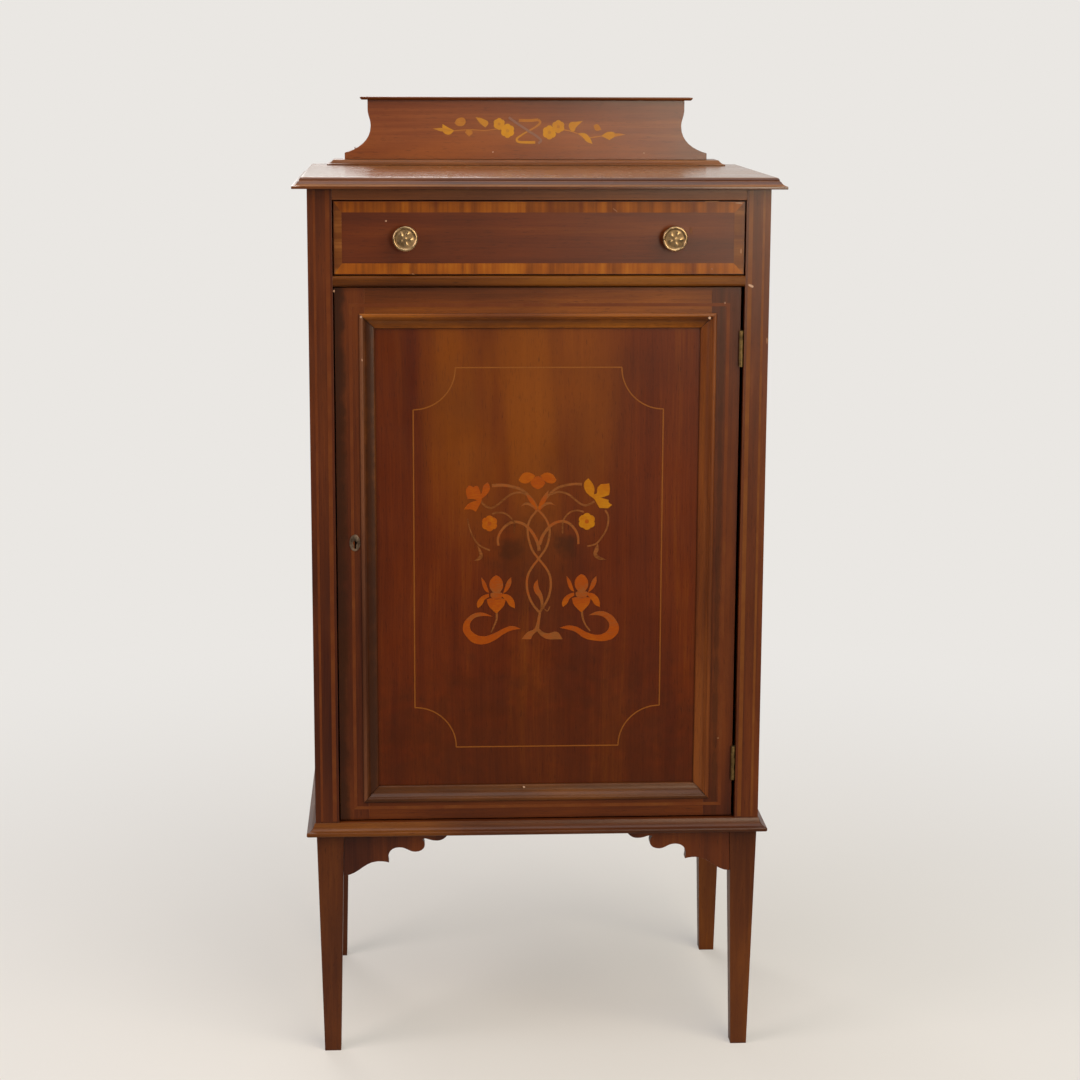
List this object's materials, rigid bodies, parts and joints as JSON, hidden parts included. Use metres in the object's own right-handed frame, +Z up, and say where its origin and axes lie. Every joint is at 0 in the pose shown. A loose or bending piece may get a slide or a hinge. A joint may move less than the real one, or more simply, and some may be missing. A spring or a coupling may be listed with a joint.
{
  "type": "gramophone cabinet",
  "caption": "Upright inlaid mahogany record cabinet: one drawer over one panelled door with shelves behind it, on tapered legs, with a low shaped gallery at the back of the top.",
  "frame": {"origin": "on the floor, under the middle of the cabinet's overall width and depth", "axes": "+Z up, the front with the door and the drawer faces -Y, +X to the right as seen from the front"},
  "size_m": [0.54, 0.356, 1.091],
  "materials": {
    "mahogany": "dark red-brown mahogany, french polished",
    "mahogany_moulding": "brown mahogany mouldings, french polished",
    "mahogany_panel": "figured mahogany veneer with inlay, french polished",
    "mahogany_inside": "plain mahogany, waxed",
    "pine": "bare pine, aged",
    "aged_brass": "lacquered brass, dulled with age",
    "steel": "plain steel, dulled"
  },
  "bodies": {
    "case": {"side_panel_left": "mahogany", "side_panel_right": "mahogany", "front_post_left": "mahogany", "front_post_right": "mahogany", "frieze_rail": "mahogany", "bottom_board": "mahogany", "gallery_board": "mahogany", "leg_front_left": "mahogany", "leg_front_right": "mahogany", "leg_rear_left": "mahogany", "leg_rear_right": "mahogany", "leg_bracket_left": "mahogany", "leg_bracket_right": "mahogany", "top_board": "mahogany_moulding", "gallery_base": "mahogany_moulding", "gallery_cap": "mahogany_moulding", "drawer_divider_rail": "mahogany_moulding", "base_moulding_front": "mahogany_moulding", "base_moulding_left": "mahogany_moulding", "base_moulding_right": "mahogany_moulding", "door_stop_strip": "mahogany_inside", "shelf_lower": "mahogany_inside", "shelf_upper": "mahogany_inside", "shelf_bearer_lower_left": "mahogany_inside", "shelf_bearer_lower_right": "mahogany_inside", "shelf_bearer_upper_left": "mahogany_inside", "shelf_bearer_upper_right": "mahogany_inside", "back_panel": "pine", "dust_board": "pine", "drawer_runner_left": "pine", "drawer_runner_right": "pine", "drawer_kicker_left": "pine", "drawer_kicker_right": "pine", "hinge_upper_post_leaf": "aged_brass", "hinge_lower_post_leaf": "aged_brass", "hinge_upper_pin": "steel", "hinge_lower_pin": "steel"},
    "drawer": {"drawer_front": "mahogany", "drawer_side_left": "pine", "drawer_side_right": "pine", "drawer_back": "pine", "drawer_bottom": "pine", "drawer_knob_left": "aged_brass", "drawer_knob_right": "aged_brass", "drawer_knob_nut_left": "steel", "drawer_knob_nut_right": "steel"},
    "door": {"door_stile_lock": "mahogany", "door_stile_hinge": "mahogany", "door_rail_top": "mahogany", "door_rail_bottom": "mahogany", "door_moulding_left": "mahogany_moulding", "door_moulding_right": "mahogany_moulding", "door_moulding_top": "mahogany_moulding", "door_moulding_bottom": "mahogany_moulding", "door_panel": "mahogany_panel", "lock_escutcheon": "aged_brass", "lock_case": "aged_brass", "hinge_upper_door_leaf": "aged_brass", "hinge_lower_door_leaf": "aged_brass"},
    "lock_bolt": {"lock_bolt": "aged_brass"}
  },
  "joints": [
    {"name": "drawer_slide", "type": "slide", "parent": "case", "child": "drawer", "axis": [0, -1, 0], "range_m": [0, 0.24]},
    {"name": "door_hinge", "type": "hinge", "parent": "case", "child": "door", "pos_m": [0.22425, -0.15875, 0.58], "axis": [0, 0, 1], "range_deg": [0, 160]},
    {"name": "lock_bolt_throw", "type": "slide", "parent": "door", "child": "lock_bolt", "axis": [-1, 0, 0], "range_m": [0, 0.006]}
  ]
}
